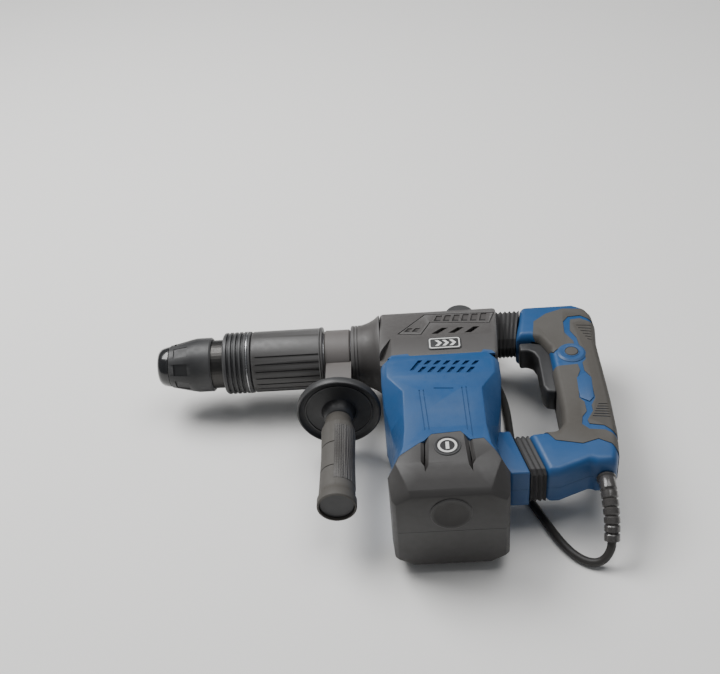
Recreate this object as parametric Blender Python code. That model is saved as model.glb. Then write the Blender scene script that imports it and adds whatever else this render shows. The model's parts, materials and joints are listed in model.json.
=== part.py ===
"""Electric demolition hammer, modelled as it comes apart on a bench.

Tool coordinates are in millimetres: x runs from the chuck (-) to the rear handle (+) along
the barrel, y runs from the motor cap (-) to the top of the tool (+), and z is zero on the
plane where the left and right casing halves meet.  Everything hangs on the empty
"tool_axes", which lays the tool on its right-hand side with that side at world z = 0.
"""
import math

import bmesh
import bpy
from mathutils import Matrix, Vector

MM = 0.001

# ---------------------------------------------------------------- driving dimensions
HALF_WIDTH = 57.0            # centre plane to the flat resting side
AXIS_Y = 150.0               # barrel axis above the world origin, measured along y
GAP = 0.3                    # clearance between pieces that touch
WALL = 3.0                   # casing wall

NOSE_X = -293.5              # front of the dust cap
SLEEVE_X = (-280.6, -235.5)  # release sleeve, front and rear
RING_X = (-222.5, -193.4)    # angle ring
GRIP_X = (-193.0, -118.0)    # ribbed barrel grip
BAND_X = (-116.5, -89.5)     # seat of the side handle's clamp band
COLLAR_X = (-88.5, -58.6)    # front collar of the gearbox
COVER_X = (-58.0, 57.0)      # gear cover
BARREL_R = 32.0
RING_R = 32.5
NECK_R = 25.5
TUBE_R = 24.5
CYLINDER_R = 15.0            # bore of the hammer cylinder
CYLINDER_WALL = 3.5
SOCKET_R = 9.2               # bore for an 18 mm chisel shank

STROKE = 24.0
CRANK_X = 26.0               # crank axis behind the motor axis
PINION_TEETH = 9
CRANK_TEETH = 43
MODULE = 1.0
ROD_LENGTH = 64.0
WRIST_X = CRANK_X - STROKE / 2 - ROD_LENGTH

MOTOR_TOP_Y = -71.0          # joint between gear cover and motor housing
CAP_Y = -195.0               # joint between motor housing and motor cap
END_Y = -245.0               # end face of the motor cap
STATOR_R = 40.0

SIDE_X = -102.0              # axis of the side handle
DISC_Y = -82.0
DISC_R = 42.0
SIDE_END_Y = -211.5

HANDLE_HALF = 22.0           # half thickness of the rear handle
PAD = 3.0                    # thickness of the soft grip pads
BUTTON_XY = (133.5, -40.0)
TRIGGER_PIVOT = (88.0, -15.0)
DIAL_XY = (26.0, 26.2)
DIAL_Z = 26.0
DIAL_R = 14.5

CORD_R = 4.0
COIL_CENTRE = (-2.0, 56.0)
COIL_RADII = (32.0, 40.0, 48.0)
COIL_LAYERS = 2
PLUG_XY = (0.0, 58.5)
PLUG_LENGTH = 50.0

# the cord's route outside its coil, by hand, from the strain relief's mouth to the coil
FLOOR = -HALF_WIDTH
RELIEF_ROUTE = [
    (143.5, -191.7, 0.0),
    (143.5, -204.5, -1.0),
    (143.5, -217.5, -7.5),
    (143.4, -229.0, -16.8),
    (142.6, -237.5, -28.5),
]
CORD_ROUTE = [
    (142.5, -238.3, -29.7),
    (141.3, -242.9, -37.4),
    (136.2, -246.2, -46.0),
    (128.6, -246.4, -51.0),
    (119.4, -242.2, -52.8),
    (110.6, -234.0, -53.0),
    (103.0, -222.6, -53.0),
    (96.4, -209.0, -53.0),
    (90.2, -194.4, -53.0),
    (83.6, -178.0, -53.0),
    (76.8, -160.0, -53.0),
    (71.6, -140.0, -53.0),
    (69.6, -118.0, -53.0),
    (69.2, -94.0, -53.0),
    (69.4, -68.0, -53.0),
    (69.2, -42.0, -53.0),
    (67.0, -18.0, -53.0),
    (62.0, 4.0, -53.0),
    (55.0, 22.0, -53.0),
]

SMOOTH_ANGLE = math.radians(35.0)
ROUND = 28                   # sides of a round piece
FAR = 600.0                  # larger than the tool, for cutters


# ---------------------------------------------------------------- scene and looks
def clear_scene():
    for item in list(bpy.data.objects):
        bpy.data.objects.remove(item, do_unlink=True)


clear_scene()
tool_axes = bpy.data.objects.new("tool_axes", None)
tool_axes.location = (0.0, AXIS_Y * MM, HALF_WIDTH * MM)
bpy.context.scene.collection.objects.link(tool_axes)


def look(name, colour, roughness, metallic=0.0):
    mat = bpy.data.materials.new(name)
    mat.use_nodes = True
    shader = mat.node_tree.nodes["Principled BSDF"]
    shader.inputs["Base Color"].default_value = (*colour, 1.0)
    shader.inputs["Roughness"].default_value = roughness
    shader.inputs["Metallic"].default_value = metallic
    return mat


BLUE = look("blue_plastic", (0.030, 0.125, 0.330), 0.42)
GREY = look("grey_plastic", (0.075, 0.068, 0.062), 0.50)
BLACK = look("black_plastic", (0.018, 0.018, 0.018), 0.45)
GLOSS = look("gloss_rubber", (0.012, 0.012, 0.012), 0.22)
SOFT = look("soft_grip", (0.062, 0.056, 0.050), 0.72)
RUBBER = look("bellows_rubber", (0.016, 0.015, 0.015), 0.60)
STEEL = look("tool_steel", (0.42, 0.42, 0.43), 0.28, 1.0)
CAST = look("cast_alloy", (0.45, 0.45, 0.46), 0.50, 1.0)
CORE = look("laminated_iron", (0.20, 0.20, 0.21), 0.45, 1.0)
COPPER = look("copper", (0.72, 0.33, 0.18), 0.35, 1.0)
CARBON = look("carbon", (0.03, 0.03, 0.03), 0.65)
BRASS = look("brass", (0.60, 0.44, 0.18), 0.35, 1.0)
PLATE = look("badge_plate", (0.50, 0.50, 0.50), 0.45)


# ---------------------------------------------------------------- modelling helpers
def place(name, bm, mat, pivot=(0.0, 0.0, 0.0)):
    """Turn millimetre geometry into an object whose origin is its pivot."""
    bmesh.ops.recalc_face_normals(bm, faces=bm.faces)
    bmesh.ops.translate(bm, verts=bm.verts, vec=-Vector(pivot))
    bmesh.ops.scale(bm, verts=bm.verts, vec=(MM, MM, MM))
    mesh = bpy.data.meshes.new(name)
    bm.to_mesh(mesh)
    bm.free()
    mesh.shade_smooth()
    mesh.set_sharp_from_angle(angle=SMOOTH_ANGLE)
    mesh.materials.append(mat)
    thing = bpy.data.objects.new(name, mesh)
    thing.location = Vector(pivot) * MM
    thing.parent = tool_axes
    bpy.context.scene.collection.objects.link(thing)
    return thing


def cutter(name, bm):
    thing = place(name, bm, BLACK)
    thing.hide_render = True
    thing.display_type = "WIRE"
    return thing


def combine(thing, operation, *tools):
    for tool in tools:
        step = thing.modifiers.new(operation.lower() + "_" + tool.name, "BOOLEAN")
        step.operation = operation
        step.solver = "EXACT"
        step.object = tool


def bevel(thing, width, segments=1):
    step = thing.modifiers.new("bevel", "BEVEL")
    step.width = width * MM
    step.segments = segments
    step.limit_method = "ANGLE"
    step.angle_limit = SMOOTH_ANGLE


def loft(rings, closed=False):
    """Skin equal rings of points; closed joins the last ring to the first."""
    bm = bmesh.new()
    made = [[bm.verts.new(point) for point in ring] for ring in rings]
    pairs = list(zip(made, made[1:]))
    if closed:
        pairs.append((made[-1], made[0]))
    else:
        bm.faces.new(made[0][::-1])
        bm.faces.new(made[-1])
    for low, high in pairs:
        for i in range(len(low)):
            j = (i + 1) % len(low)
            bm.faces.new((low[i], low[j], high[j], high[i]))
    return bm


def prism(outline, low, high, plane="xy"):
    """Extrude an outline given in one plane from low to high along the third axis."""
    lift = {
        "xy": lambda a, b, c: (a, b, c),
        "xz": lambda a, b, c: (a, c, b),
        "yz": lambda a, b, c: (c, a, b),
    }[plane]
    return loft([[lift(a, b, level) for a, b in outline] for level in (low, high)])


def box(x, y, z):
    return prism([(x[0], y[0]), (x[1], y[0]), (x[1], y[1]), (x[0], y[1])], z[0], z[1])


def turn(profile, axis="x", centre=(0.0, 0.0), sides=ROUND):
    """Revolve a closed (along, radius) profile about an axis through centre."""
    bm = bmesh.new()
    rings = []
    for along, radius in profile:
        count = sides if radius > 0.0 else 1
        ring = []
        for i in range(count):
            angle = 2.0 * math.pi * i / sides
            u = centre[0] + radius * math.cos(angle)
            v = centre[1] + radius * math.sin(angle)
            spot = {"x": (along, u, v), "y": (u, along, v), "z": (u, v, along)}[axis]
            ring.append(bm.verts.new(spot))
        rings.append(ring)
    for first, second in zip(rings, rings[1:] + rings[:1]):
        for i in range(sides):
            j = (i + 1) % sides
            corners = [first[i % len(first)], first[j % len(first)]]
            corners += [second[j % len(second)], second[i % len(second)]]
            unique = list(dict.fromkeys(corners))
            if len(unique) > 2:
                bm.faces.new(unique)
    return bm


def tube_profile(low, high, inner, outer):
    return [(low, inner), (low, outer), (high, outer), (high, inner)]


def rod_profile(low, high, radius, edge=0.8):
    return [(low, 0.0), (low, radius - edge), (low + edge, radius),
            (high - edge, radius), (high, radius - edge), (high, 0.0)]


def ring_prism(outer, inner_radius, centre, low, high):
    """A toothed disc about y with a round bore: the bore has one point for each outer one."""
    def around(points, level):
        return [(centre[0] + x, level, centre[1] + z) for x, z in points]

    bore = [(inner_radius * x / math.hypot(x, z), inner_radius * z / math.hypot(x, z))
            for x, z in outer]
    return loft([around(outer, low), around(outer, high), around(bore, high),
                 around(bore, low)], closed=True)


def toothed(teeth, root, tip, root_share, tip_share):
    """Outline of a gear, fan or slotted core; shares are of the angle between teeth."""
    points = []
    for k in range(teeth):
        middle = 2.0 * math.pi * k / teeth
        for radius, share in ((root, -root_share), (tip, -tip_share),
                              (tip, tip_share), (root, root_share)):
            angle = middle + math.pi * share / teeth
            points.append((radius * math.cos(angle), radius * math.sin(angle)))
    return points


def spring(name, turns, radius, wire, low, high, centre, mat):
    """A compression spring about x."""
    steps = int(turns * 12)
    path = []
    for i in range(steps + 1):
        angle = 2.0 * math.pi * turns * i / steps
        along = low + wire + (high - low - 2.0 * wire) * i / steps
        path.append((along, centre[0] + radius * math.cos(angle),
                     centre[1] + radius * math.sin(angle)))
    return place(name, sweep(path, [wire] * len(path), 5), mat)


def sweep(path, radii, sides):
    """A round bar along a path."""
    spots = [Vector(p) for p in path]
    rings = []
    side = Vector((0.0, 0.0, 1.0))
    for i, spot in enumerate(spots):
        ahead = spots[min(i + 1, len(spots) - 1)] - spots[max(i - 1, 0)]
        ahead.normalize()
        if abs(ahead.dot(side)) > 0.95:
            side = Vector((0.0, 1.0, 0.0))
        side = (side - ahead * ahead.dot(side)).normalized()
        other = ahead.cross(side)
        rings.append([spot + radii[i] * (side * math.cos(a) + other * math.sin(a))
                      for a in (2.0 * math.pi * k / sides for k in range(sides))])
    return loft(rings)


def smooth_route(points, spacing):
    """Even steps along a Catmull-Rom curve through the points."""
    spots = [Vector(p) for p in points]
    spots = [2 * spots[0] - spots[1]] + spots + [2 * spots[-1] - spots[-2]]
    fine = []
    for a, b, c, d in zip(spots, spots[1:], spots[2:], spots[3:]):
        for k in range(20):
            t = k / 20.0
            fine.append(0.5 * (2 * b + (c - a) * t + (2 * a - 5 * b + 4 * c - d) * t * t
                               + (3 * b - a - 3 * c + d) * t ** 3))
    fine.append(spots[-2])
    lengths = [0.0]
    for p, q in zip(fine, fine[1:]):
        lengths.append(lengths[-1] + (q - p).length)
    count = max(2, round(lengths[-1] / spacing))
    even, k = [], 0
    for i in range(count + 1):
        want = lengths[-1] * i / count
        while k < len(fine) - 2 and lengths[k + 1] < want:
            k += 1
        share = (want - lengths[k]) / (lengths[k + 1] - lengths[k])
        even.append(fine[k].lerp(fine[k + 1], share))
    return even


def inset(outline, distance):
    """Move each side of a clockwise outline inwards by the distance."""
    result = []
    count = len(outline)
    for i in range(count):
        before, here, after = (Vector(outline[(i + k) % count]) for k in (-1, 0, 1))
        first = (here - before).normalized()
        second = (after - here).normalized()
        inward_a = Vector((first.y, -first.x))
        inward_b = Vector((second.y, -second.x))
        middle = inward_a + inward_b
        result.append(tuple(here + middle * (distance / (1.0 + inward_a.dot(inward_b)))))
    return result


below_middle = cutter("below_middle", box((-FAR, FAR), (-FAR, FAR), (-FAR, GAP / 2)))
above_middle = cutter("above_middle", box((-FAR, FAR), (-FAR, FAR), (-GAP / 2, FAR)))


def halves(name, build, mat, joins=(), hollows=(), edge=0.0):
    """Left and right halves of one casing: same outside, same hollow, cut at the middle."""
    pieces = []
    for side, other in (("left", below_middle), ("right", above_middle)):
        half = place(f"{name}_{side}", build(), mat)
        combine(half, "UNION", *joins)
        if edge:
            bevel(half, edge)
        combine(half, "DIFFERENCE", *hollows, other)
        pieces.append(half)
    return pieces


# ---------------------------------------------------------------- gear cover
COVER_SECTION = [(MOTOR_TOP_Y + GAP, 54.0), (-41.0, 54.0), (30.0, 31.0), (36.0, 23.0)]


def cover_rear(y):
    """The rear wall leans back towards the top."""
    return COVER_X[1] + 7.0 * (y - MOTOR_TOP_Y) / 101.0


def cover_ring(section, x_of_y):
    full = section + [(y, -z) for y, z in reversed(section)]
    return [(x_of_y(y), y, z) for y, z in full]


def build_cover():
    front = cover_ring(COVER_SECTION, lambda y: COVER_X[0])
    rear = cover_ring(COVER_SECTION, cover_rear)
    return loft([front, rear])


def build_cover_hollow():
    section = [(MOTOR_TOP_Y - 5.0, 51.0), (-42.0, 51.0), (28.0, 28.0), (33.0, 21.5)]
    front = cover_ring(section, lambda y: COVER_X[0] + WALL)
    rear = cover_ring(section, lambda y: COVER_X[1] - WALL + 0.2)
    return loft([front, rear])


cover_hollow = cutter("cover_hollow", build_cover_hollow())
cover_mouth = cutter("cover_mouth", turn(rod_profile(-64.0, -50.0, TUBE_R + 0.4), "x"))
dial_slot = cutter("dial_slot", box((DIAL_XY[0] - DIAL_R - 0.8, DIAL_XY[0] + DIAL_R + 0.8),
                                    (10.0, 48.0), (DIAL_Z - 3.6, DIAL_Z + 3.6)))
cover_left, cover_right = halves("gear_cover", build_cover, GREY,
                                 hollows=(cover_hollow, cover_mouth), edge=1.6)
combine(cover_left, "DIFFERENCE", dial_slot)

place("badge_plate", box((-9.5, 22.5), (-61.0, -46.0), (54.3, 55.1)), PLATE)
place("speed_dial",
      turn(rod_profile(DIAL_Z - 3.0, DIAL_Z + 3.0, DIAL_R), "z", DIAL_XY, 24),
      BLACK, (*DIAL_XY, DIAL_Z))


# ---------------------------------------------------------------- motor housing and cap
# y, half width of the flat side, half width overall, start of the corner, half thickness
HOUSING_STATIONS = [
    (MOTOR_TOP_Y, 46.0, 56.0, 46.0, 57.0),
    (-81.0, 52.0, 57.0, 51.0, 57.0),
    (-101.0, 51.0, 57.0, 50.0, 57.0),
    (-122.0, 37.0, 55.0, 34.0, 57.0),
    (-150.0, 37.0, 50.0, 32.0, 57.0),
    (-172.0, 37.0, 45.5, 32.0, 57.0),
    (CAP_Y, 38.0, 48.0, 33.0, 57.0),
]
CAP_STATIONS = [
    (CAP_Y - GAP, 40.0, 49.0, 35.0, 57.0),
    (-216.0, 46.0, 54.0, 40.0, 57.0),
    (-240.0, 36.0, 51.5, 38.0, 49.0),
    (END_Y, 34.0, 48.0, 36.0, 44.0),
]


def casing_ring(station, thinner=0.0, dy=0.0):
    y, flat, wide, corner, deep = station
    flat -= thinner * 0.6
    wide -= thinner
    corner -= thinner * 0.4
    deep -= thinner
    quarter = [(flat, deep), (wide, corner)]
    pairs = quarter + [(x, -z) for x, z in reversed(quarter)]
    pairs += [(-x, -z) for x, z in quarter] + [(-x, z) for x, z in reversed(quarter)]
    return [(x, y + dy, z) for x, z in pairs]


def build_housing():
    return loft([casing_ring(s) for s in HOUSING_STATIONS])


def build_housing_hollow():
    rings = [casing_ring(s, WALL) for s in HOUSING_STATIONS]
    rings[0] = casing_ring(HOUSING_STATIONS[0], WALL, 2.0)
    rings[-1] = casing_ring(HOUSING_STATIONS[-1], WALL, -2.0)
    return loft(rings)


BLOCK_OUTLINE = [(42.0, -146.0), (61.0, -146.0), (73.8, -201.0), (56.0, -201.0),
                 (53.0, -194.9), (42.0, -194.9)]
BLOCK_HOLLOW = [(38.0, -149.0), (58.6, -149.0), (70.0, -198.0), (59.0, -198.0),
                (55.0, -191.5), (38.0, -191.5)]
arm_block = cutter("arm_block", prism(BLOCK_OUTLINE, -HANDLE_HALF, HANDLE_HALF))
arm_block_hollow = cutter("arm_block_hollow", prism(BLOCK_HOLLOW, -19.0, 19.0))
housing_hollow = cutter("housing_hollow", build_housing_hollow())
halves("motor_housing", build_housing, BLUE, joins=(arm_block,),
       hollows=(housing_hollow, arm_block_hollow))


def build_cap():
    return loft([casing_ring(s) for s in CAP_STATIONS])


def build_cap_chamber():
    first = casing_ring(CAP_STATIONS[0], WALL, 2.0)
    last = casing_ring((-213.0, 44.5, 53.0, 39.2, 57.0), WALL)
    return loft([first, last])


def build_cap_end_chamber():
    first = casing_ring((-229.0, 38.0, 50.0, 37.0, 50.0), WALL)
    last = casing_ring((END_Y + WALL, 34.0, 48.0, 36.0, 44.0), WALL)
    return loft([first, last])


cap_chamber = cutter("cap_chamber", build_cap_chamber())
cap_end_chamber = cutter("cap_end_chamber", build_cap_end_chamber())
cap_bearing_seat = cutter("cap_bearing_seat", turn(rod_profile(-235.0, -205.0, 11.3), "y"))
halves("motor_cap", build_cap, GREY,
       hollows=(cap_chamber, cap_end_chamber, cap_bearing_seat), edge=1.2)

# ---------------------------------------------------------------- gearbox
CASE_OUTLINE = [(-54.7, 22.0), (-9.0, 22.0), (-5.0, 11.0), (53.8, 11.0),
                (53.8, -62.0), (-54.7, -62.0)]
crankcase = place("crankcase", prism(CASE_OUTLINE, -29.0, 29.0), CAST)
gear_chamber = cutter("gear_chamber", box((-9.0, 50.2), (-58.5, -43.5), (-25.5, 25.5)))
crank_chamber = cutter("crank_chamber", prism(
    [(-46.0, 19.0), (-12.5, 19.0), (-8.5, 8.4), (50.2, 8.4), (50.2, -27.0), (-46.0, -27.0)],
    -25.5, 25.5))
crank_bore = cutter("crank_bore", turn(rod_profile(-50.0, -22.0, 8.4), "y", (CRANK_X, 0.0)))
pinion_bore = cutter("pinion_bore", turn(rod_profile(-66.0, -50.0, 8.0), "y"))
case_mouth = cutter("case_mouth", turn(
    rod_profile(-60.0, -40.0, CYLINDER_R + CYLINDER_WALL + GAP), "x"))
combine(crankcase, "DIFFERENCE", gear_chamber, crank_chamber, crank_bore, pinion_bore,
        case_mouth)

place("hammer_cylinder", turn(
    tube_profile(-199.5, -20.0, CYLINDER_R, CYLINDER_R + CYLINDER_WALL), "x"), STEEL)
BARREL_BORE = CYLINDER_R + CYLINDER_WALL + GAP
place("barrel_tube", turn([
    (-206.0, 22.3), (-206.0, TUBE_R), (-55.2, TUBE_R), (-55.2, BARREL_BORE),
    (-199.8, BARREL_BORE), (-199.8, 22.3)], "x"), CAST)

# ---------------------------------------------------------------- barrel
place("barrel_grip", turn([
    (GRIP_X[0], TUBE_R + GAP), (GRIP_X[0], BARREL_R - 1.5), (GRIP_X[0] + 2.0, BARREL_R),
    (GRIP_X[1] - 1.0, BARREL_R), (GRIP_X[1], BARREL_R - 1.0), (GRIP_X[1], TUBE_R + GAP)],
    "x"), SOFT)
place("front_collar", turn([
    (COLLAR_X[0], TUBE_R + GAP), (COLLAR_X[0], BARREL_R), (COLLAR_X[0] + 8.0, BARREL_R),
    (-74.0, 33.0), (-66.0, 36.0), (COLLAR_X[1], 41.0), (COLLAR_X[1], TUBE_R + GAP)],
    "x"), GREY)

# ---------------------------------------------------------------- tool holder
tool_holder = place("tool_holder", turn([
    (-287.7, SOCKET_R), (-287.7, 13.0), (-286.7, 14.0), (-258.0, 14.0), (-258.0, 21.5),
    (-249.0, NECK_R), (-208.0, NECK_R), (-206.5, 22.0), (-200.0, 22.0), (-200.0, 11.4),
    (-228.0, 11.4), (-228.0, SOCKET_R)], "x", sides=48), STEEL)
place("dust_cap", turn([
    (NOSE_X, 10.0), (NOSE_X, 17.2), (NOSE_X + 2.5, 20.2), (-281.2, 21.8), (-281.2, 14.3),
    (-288.0, 14.3), (-288.0, 10.0)], "x"), GLOSS)
ROLLER_X = (-251.5, -238.5)
ROLLER_OUT = 12.3
for letter, side in (("a", 1.0), ("b", -1.0)):
    reach = sorted((side * 5.0, side * 20.0))
    window = cutter(f"roller_window_{letter}", box(
        (ROLLER_X[0] - 0.5, ROLLER_X[1] + 0.5), reach, (-4.3, 4.3)))
    combine(tool_holder, "DIFFERENCE", window)
    place(f"locking_roller_{letter}", turn(
        rod_profile(*ROLLER_X, 4.0), "x", (side * ROLLER_OUT, 0.0), 14),
        STEEL, (-245.0, side * ROLLER_OUT, 0.0))

place("release_sleeve", turn([
    (SLEEVE_X[0], 14.4), (SLEEVE_X[0], 22.3), (-256.0, 27.6), (-250.0, 28.5),
    (SLEEVE_X[1] - 1.0, 28.5), (SLEEVE_X[1], 27.8), (SLEEVE_X[1], NECK_R + 0.5),
    (-256.5, NECK_R + 0.5), (-266.0, 22.2), (-272.0, 22.2), (-272.0, 14.4)], "x"), BLACK,
    (-258.0, 0.0, 0.0))
spring("sleeve_spring", 3.0, 20.5, 1.1, -271.6, -258.4, (0.0, 0.0), STEEL)


def ring_groove(x):
    return [(x - 1.6, RING_R), (x - 0.8, RING_R - 1.6), (x + 0.8, RING_R - 1.6),
            (x + 1.6, RING_R)]


ring_profile = [(RING_X[0], NECK_R + 0.4), (RING_X[0], RING_R - 2.0), (RING_X[0] + 2.5, RING_R)]
for groove in (-213.5, -208.0, -202.5):
    ring_profile += ring_groove(groove)
ring_profile += [(RING_X[1] - 1.0, RING_R), (RING_X[1], RING_R - 1.0),
                 (RING_X[1], NECK_R + 0.4)]
place("angle_ring", turn(ring_profile, "x"), BLACK)

# ---------------------------------------------------------------- hammer mechanism
RUNNING_R = CYLINDER_R - 0.3
place("beat_piece", turn([
    (-224.0, 0.0), (-224.0, 10.0), (-223.0, 11.0), (-194.0, 11.0), (-194.0, RUNNING_R),
    (-182.0, RUNNING_R), (-182.0, 10.0), (-163.0, 10.0), (-162.0, 9.0), (-162.0, 0.0)],
    "x"), STEEL)
place("striker", turn(rod_profile(-152.0, -102.0, RUNNING_R, 1.2), "x"), STEEL)

piston = place("piston", turn([
    (WRIST_X - 25.0, 0.0), (WRIST_X - 25.0, RUNNING_R - 1.0), (WRIST_X - 24.0, RUNNING_R),
    (WRIST_X + 10.0, RUNNING_R), (WRIST_X + 10.0, 11.6), (WRIST_X - 11.0, 11.6),
    (WRIST_X - 11.0, 0.0)], "x"), STEEL, (WRIST_X, 0.0, 0.0))
wrist_bore = cutter("wrist_bore", turn(rod_profile(-18.0, 18.0, 5.1), "y", (WRIST_X, 0.0)))
combine(piston, "DIFFERENCE", wrist_bore)
place("wrist_pin", turn(rod_profile(-13.6, 13.6, 5.0), "y", (WRIST_X, 0.0), 16), STEEL,
      (WRIST_X, 0.0, 0.0))

CRANK_PIN_X = CRANK_X - STROKE / 2
ROD_FLOOR = -6.5             # underside of the rod's big end
rod = place("connecting_rod", turn(
    tube_profile(ROD_FLOOR, 6.5, 5.6, 9.5), "y", (CRANK_PIN_X, 0.0), 24), STEEL,
    (WRIST_X, 0.0, 0.0))
small_end = cutter("rod_small_end", turn(
    rod_profile(-6.5, 6.5, 8.0), "y", (WRIST_X, 0.0), 24))
rod_shank = cutter("rod_shank", box((WRIST_X + 6.5, CRANK_PIN_X - 7.5), (-4.0, 4.0),
                                    (-4.5, 4.5)))
rod_eye = cutter("rod_eye", turn(rod_profile(-9.0, 9.0, 5.3), "y", (WRIST_X, 0.0)))
combine(rod, "UNION", rod_shank, small_end)
combine(rod, "DIFFERENCE", rod_eye)

PITCH_R = MODULE * CRANK_TEETH / 2
PINION_R = MODULE * PINION_TEETH / 2
ADDENDUM = 0.80 * MODULE
DEDENDUM = 1.15 * MODULE
# a gap of the big gear faces a tooth of the pinion on the line between their centres
crank_outline = toothed(CRANK_TEETH, PITCH_R - DEDENDUM, PITCH_R + ADDENDUM, 0.50, 0.18)
place("crank_gear", ring_prism(crank_outline, 8.3, (CRANK_X, 0.0), -56.0, -47.0), STEEL,
      (CRANK_X, 0.0, 0.0))
crank_shaft = place("crank_shaft", turn([
    (-57.5, 0.0), (-57.5, 8.0), (-24.0, 8.0), (-24.0, 18.0), (-17.0, 18.0), (-17.0, 0.0)],
    "y", (CRANK_X, 0.0)), STEEL, (CRANK_X, 0.0, 0.0))
crank_pin = cutter("crank_pin", turn(
    rod_profile(-20.0, ROD_FLOOR - 0.5, 5.0), "y", (CRANK_PIN_X, 0.0), 20))
combine(crank_shaft, "UNION", crank_pin)

# ---------------------------------------------------------------- motor
pinion_outline = toothed(PINION_TEETH, PINION_R - DEDENDUM, PINION_R + ADDENDUM, 0.58, 0.16)
armature_shaft = place("armature_shaft", turn([
    (-234.0, 0.0), (-234.0, 4.0), (-212.0, 4.0), (-212.0, 5.0), (-60.0, 5.0), (-58.0, 3.2),
    (-57.0, 3.2), (-57.0, 0.0)], "y", sides=20), STEEL)
pinion = cutter("pinion", prism(pinion_outline, -57.8, -46.0, "xz"))
combine(armature_shaft, "UNION", pinion)
place("armature_core", ring_prism(toothed(14, 19.5, 23.0, 0.80, 0.72), 5.3, (0.0, 0.0),
                                  -168.0, -112.0), CORE)
place("commutator", turn(tube_profile(-206.0, -184.0, 5.3, 13.5), "y"), COPPER)
place("cooling_fan", ring_prism(toothed(11, 15.0, 36.0, 0.30, 0.10), 5.3, (0.0, 0.0),
                                -92.0, -80.0), BLACK)
place("stator_core", turn(tube_profile(-165.0, -115.0, 23.7, STATOR_R), "y"), CORE)
place("upper_bearing", turn(tube_profile(-72.5, -64.5, 5.2, 13.0), "y"), STEEL)
place("lower_bearing", turn(tube_profile(-227.0, -216.0, 4.2, 11.0), "y"), STEEL)
place("bearing_plate", turn([
    (-76.0, 8.0), (-76.0, 46.0), (-64.0, 46.0), (-64.0, 13.3), (-72.9, 13.3), (-72.9, 8.0)],
    "y"), CAST)


def brush_set(letter, side):
    """A carbon brush in its open-ended holder, on one side of the commutator."""
    def across(low, high):
        return sorted((side * low, side * high))

    place(f"carbon_brush_{letter}", box(across(13.9, 30.0), (-199.0, -191.0), (-3.5, 3.5)),
          CARBON)
    holder = place(f"brush_holder_{letter}",
                   box(across(16.0, 40.0), (-201.3, -188.7), (-5.8, 5.8)), BRASS)
    channel = cutter(f"brush_channel_{letter}",
                     box(across(10.0, 38.0), (-199.3, -190.7), (-3.8, 3.8)))
    combine(holder, "DIFFERENCE", channel)


brush_set("a", 1.0)
brush_set("b", -1.0)

# ---------------------------------------------------------------- side handle
clamp = place("clamp_band", turn(
    tube_profile(BAND_X[0], BAND_X[1], TUBE_R + GAP, 28.5), "x"), GREY, (SIDE_X, 0.0, 0.0))
saddle = cutter("saddle", box((SIDE_X - 9.0, SIDE_X + 9.0), (-77.6, -26.5), (-9.5, 9.5)))
bolt_bore = cutter("bolt_bore", turn(rod_profile(-90.0, -60.0, 4.4), "y", (SIDE_X, 0.0)))
combine(clamp, "UNION", saddle)
combine(clamp, "DIFFERENCE", bolt_bore)
place("clamp_bolt", turn(rod_profile(-135.0, -61.0, 4.0), "y", (SIDE_X, 0.0), 16), STEEL,
      (SIDE_X, 0.0, 0.0))
place("disc_guard", turn([
    (-78.0, 4.4), (-78.0, DISC_R - 1.5), (-79.5, DISC_R), (-86.0, DISC_R),
    (-87.0, DISC_R - 1.5), (-83.0, DISC_R - 5.0), (-83.0, 18.0), (-90.0, 16.0),
    (-96.0, 13.2), (-96.0, 4.4)], "y", (SIDE_X, 0.0), 36), BLACK, (SIDE_X, DISC_Y, 0.0))
place("side_grip", turn([
    (-96.3, 4.4), (-96.3, 12.8), (-104.0, 13.4), (-114.0, 16.4), (-152.0, 15.6),
    (-194.0, 17.0), (-201.0, 17.2), (-203.5, 18.4), (SIDE_END_Y, 18.4),
    (SIDE_END_Y, 16.4), (-206.0, 16.4), (-206.0, 4.4)], "y", (SIDE_X, 0.0)), SOFT,
    (SIDE_X, DISC_Y, 0.0))
place("grip_end_cap", turn(rod_profile(-208.6, -206.3, 16.0, 0.5), "y", (SIDE_X, 0.0)),
      BLACK, (SIDE_X, DISC_Y, 0.0))

# ---------------------------------------------------------------- rear handle
# clockwise outline of the handle with its pads, seen from the left side of the tool
HANDLE_OUTLINE = [
    (91.0, 42.0), (146.0, 42.0), (157.0, 35.0), (163.0, 22.0), (164.0, 4.0),
    (161.0, -22.0), (161.0, -108.0), (159.5, -150.0), (156.0, -180.0), (152.0, -191.0),
    (135.0, -191.0), (130.0, -188.0), (101.0, -200.5), (88.8, -200.5), (76.8, -149.0),
    (104.0, -147.0), (111.0, -139.0), (113.0, -120.0), (113.0, -28.0), (106.0, -12.0),
    (96.0, -8.0), (81.4, -8.0),
]
REAR_PAD = [(147.5, 40.0), (157.0, 33.6), (162.6, 21.6), (163.8, 4.0), (161.0, -22.0),
            (161.0, -108.0), (159.5, -150.0), (156.6, -175.0)]
FRONT_PAD = [(113.0, -92.0), (113.0, -120.0), (111.0, -139.0), (104.0, -147.0)]


def pad_recess(path, depth, overrun):
    """Strip along a stretch of the outline, depth deep, standing overrun proud."""
    spots = [Vector(p) for p in path]
    outer, inner = [], []
    for i, spot in enumerate(spots):
        ahead = (spots[min(i + 1, len(spots) - 1)] - spots[max(i - 1, 0)]).normalized()
        inward = Vector((ahead.y, -ahead.x))
        outer.append(tuple(spot - inward * overrun))
        inner.append(tuple(spot + inward * depth))
    return outer + inner[::-1]


def build_handle():
    narrow = inset(HANDLE_OUTLINE, 4.0)
    levels = [(-HANDLE_HALF, narrow), (-16.0, HANDLE_OUTLINE), (16.0, HANDLE_OUTLINE),
              (HANDLE_HALF, narrow)]
    return loft([[(x, y, z) for x, y in outline] for z, outline in levels])


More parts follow.
